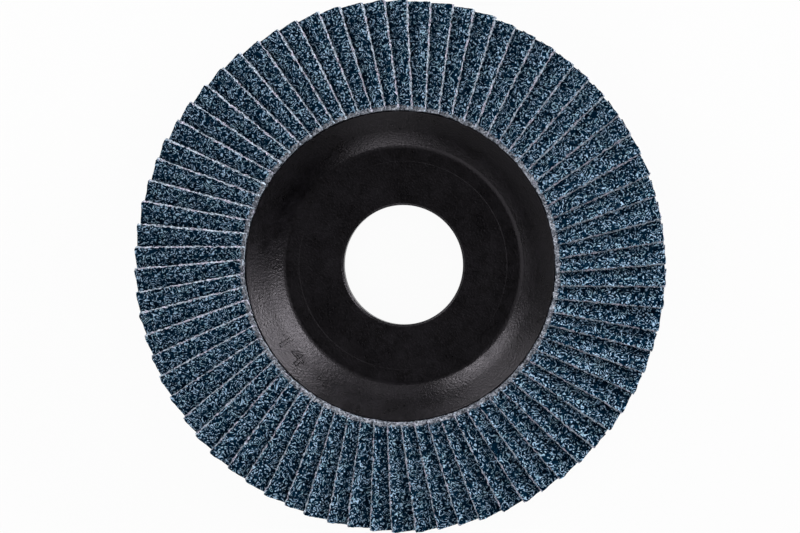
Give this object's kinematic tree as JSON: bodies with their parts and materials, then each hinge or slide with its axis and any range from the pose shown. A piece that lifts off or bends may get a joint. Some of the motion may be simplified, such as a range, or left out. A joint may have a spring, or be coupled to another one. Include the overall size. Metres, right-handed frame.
{
  "type": "flap disc",
  "caption": "Abrasive flap disc for an angle grinder: overlapping cloth flaps in a ring on a moulded plastic backing plate with a depressed centre and a plain round bore.",
  "frame": {"origin": "centre of the bore in the back face, which the disc lies on", "axes": "+Z along the bore axis from the back face towards the flaps; the disc is round about Z, and the first flap's free edge runs along X"},
  "size_m": [0.099, 0.099, 0.011],
  "materials": {
    "plate_plastic": "satin black moulded plastic",
    "resin": "dark brown hardened resin",
    "abrasive_cloth": "dark blue grit on pale cloth"
  },
  "bodies": {
    "root": {"backing_plate": "plate_plastic", "resin_bed": "resin", "flaps_01": "abrasive_cloth", "flaps_02": "abrasive_cloth", "flaps_03": "abrasive_cloth", "flaps_04": "abrasive_cloth", "flaps_05": "abrasive_cloth", "flaps_06": "abrasive_cloth", "flaps_07": "abrasive_cloth", "flaps_08": "abrasive_cloth", "flaps_09": "abrasive_cloth", "flaps_10": "abrasive_cloth", "flaps_11": "abrasive_cloth", "flaps_12": "abrasive_cloth", "flaps_13": "abrasive_cloth", "flaps_14": "abrasive_cloth", "flaps_15": "abrasive_cloth", "flaps_16": "abrasive_cloth", "flaps_17": "abrasive_cloth", "flaps_18": "abrasive_cloth", "flaps_19": "abrasive_cloth", "flaps_20": "abrasive_cloth", "flaps_21": "abrasive_cloth", "flaps_22": "abrasive_cloth", "flaps_23": "abrasive_cloth", "flaps_24": "abrasive_cloth", "flaps_25": "abrasive_cloth", "flaps_26": "abrasive_cloth", "flaps_27": "abrasive_cloth", "flaps_28": "abrasive_cloth", "flaps_29": "abrasive_cloth", "flaps_30": "abrasive_cloth", "flaps_31": "abrasive_cloth", "flaps_32": "abrasive_cloth", "flaps_33": "abrasive_cloth", "flaps_34": "abrasive_cloth", "flaps_35": "abrasive_cloth", "flaps_36": "abrasive_cloth", "flaps_37": "abrasive_cloth"}
  },
  "joints": []
}
